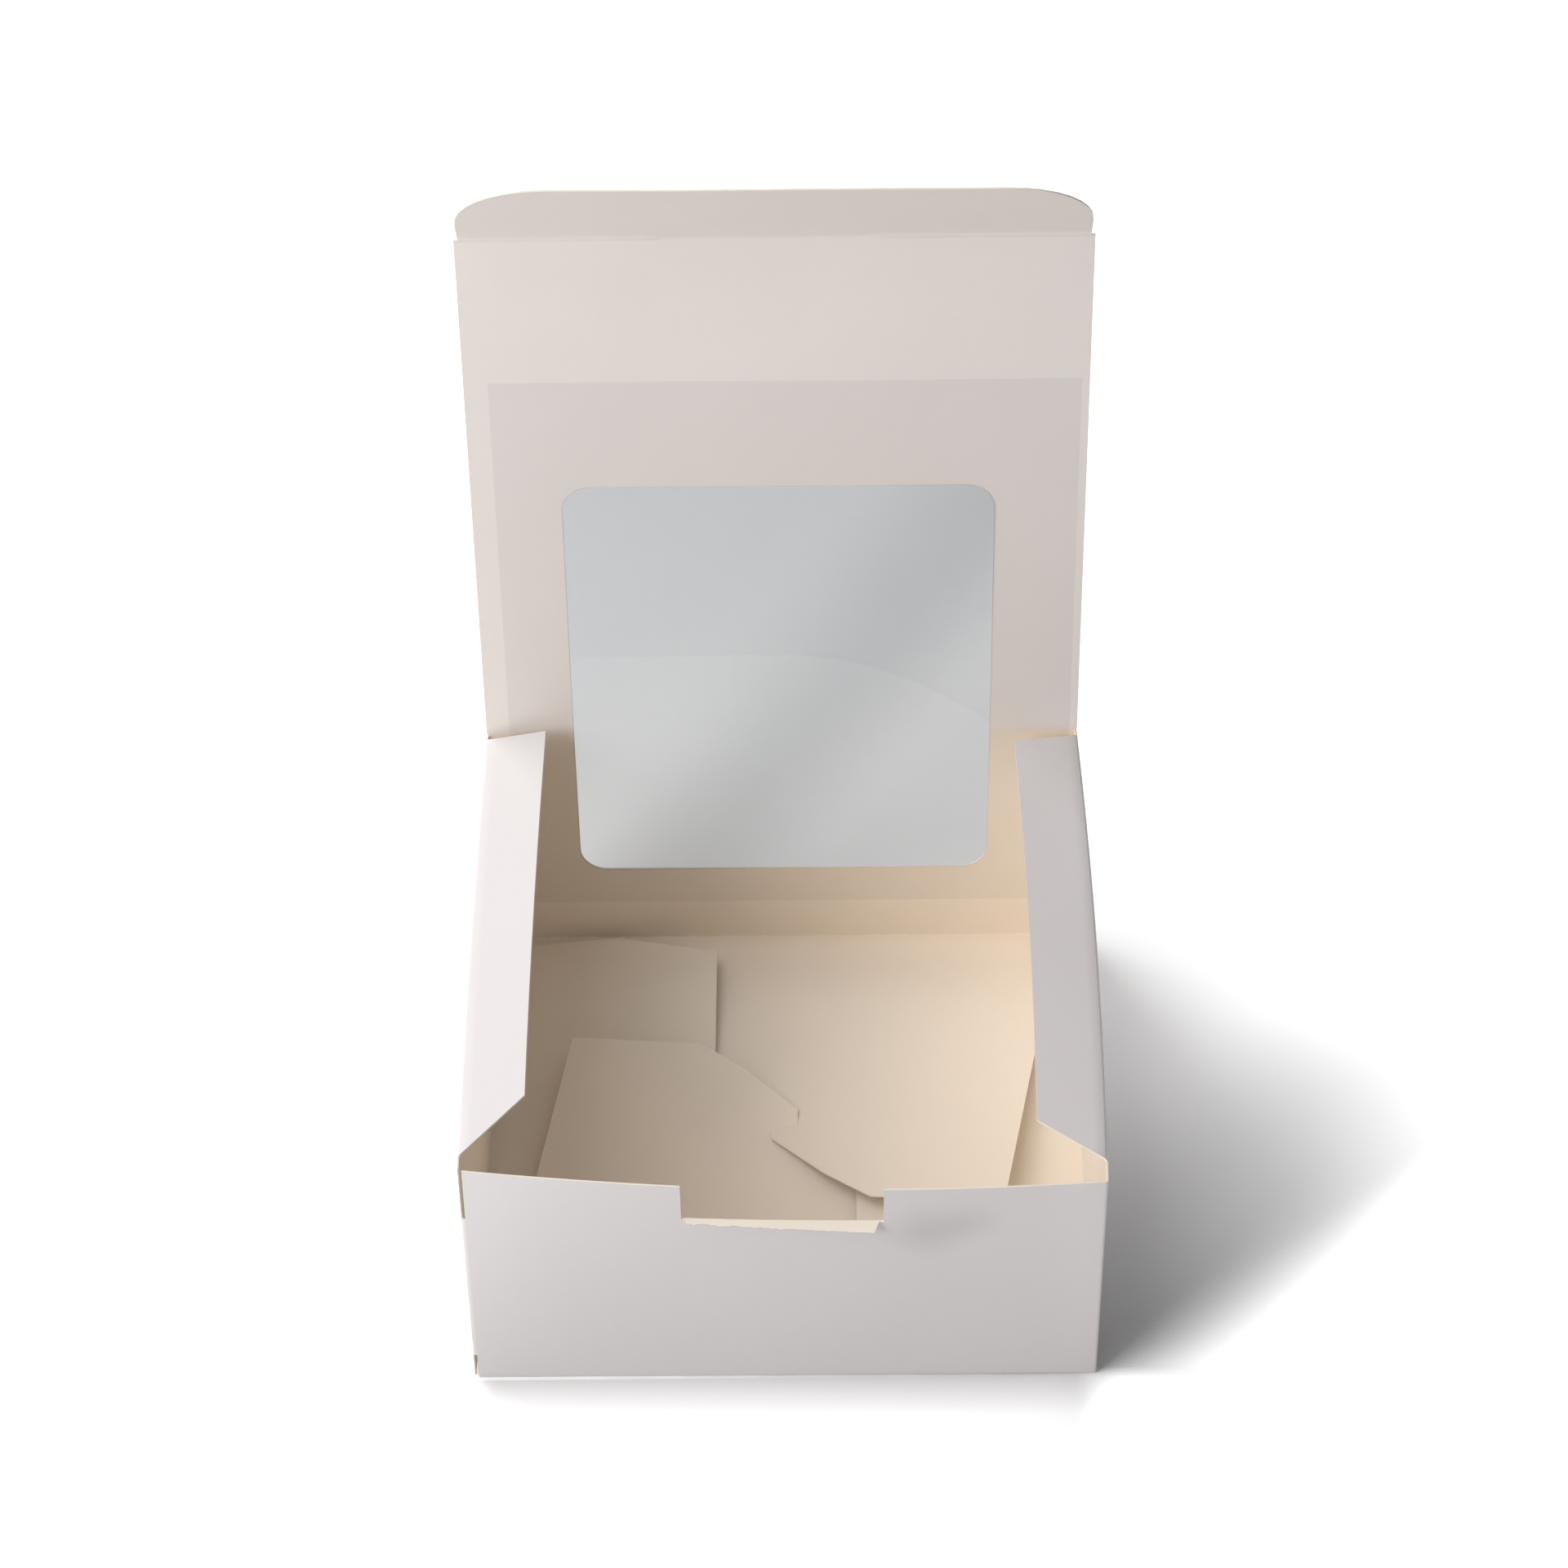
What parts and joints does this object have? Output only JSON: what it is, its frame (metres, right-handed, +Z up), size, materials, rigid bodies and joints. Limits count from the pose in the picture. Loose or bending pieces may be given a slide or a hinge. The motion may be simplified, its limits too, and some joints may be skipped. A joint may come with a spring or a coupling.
{
  "type": "windowed pastry box",
  "caption": "Folded white board box with a hinged tuck lid, a clear film window over the back edge and a thumb notch; holds a small cake or pastries.",
  "frame": {"origin": "middle of the front wall's bottom edge, on the surface that the box rests on", "axes": "+Z up, +Y from the front wall towards the lid's hinge, +X to the right as seen from the front"},
  "size_m": [0.154, 0.1681, 0.2507],
  "materials": {
    "board": "coated white folding board, matt",
    "board_inside": "uncoated cream back of the board, matt",
    "film": "clear thin film"
  },
  "bodies": {
    "tray": {"box_tray": "board", "left_dust_flap": "board", "right_dust_flap": "board", "window_film_back": "film"},
    "lid": {"lid_panel": "board_inside", "window_film_lid": "film"},
    "tuck": {"tuck_flap": "board_inside"}
  },
  "joints": [
    {"name": "lid_hinge", "type": "hinge", "parent": "tray", "child": "lid", "pos_m": [0, 0.152, 0.076], "axis": [1, 0, 0], "range_deg": [-86.5, 91.5], "deforming": ["left_dust_flap"]},
    {"name": "tuck_hinge", "type": "hinge", "parent": "lid", "child": "tuck", "pos_m": [0, 0.16112, 0.22512], "axis": [1, 0, 0], "range_deg": [-35, 55]}
  ]
}
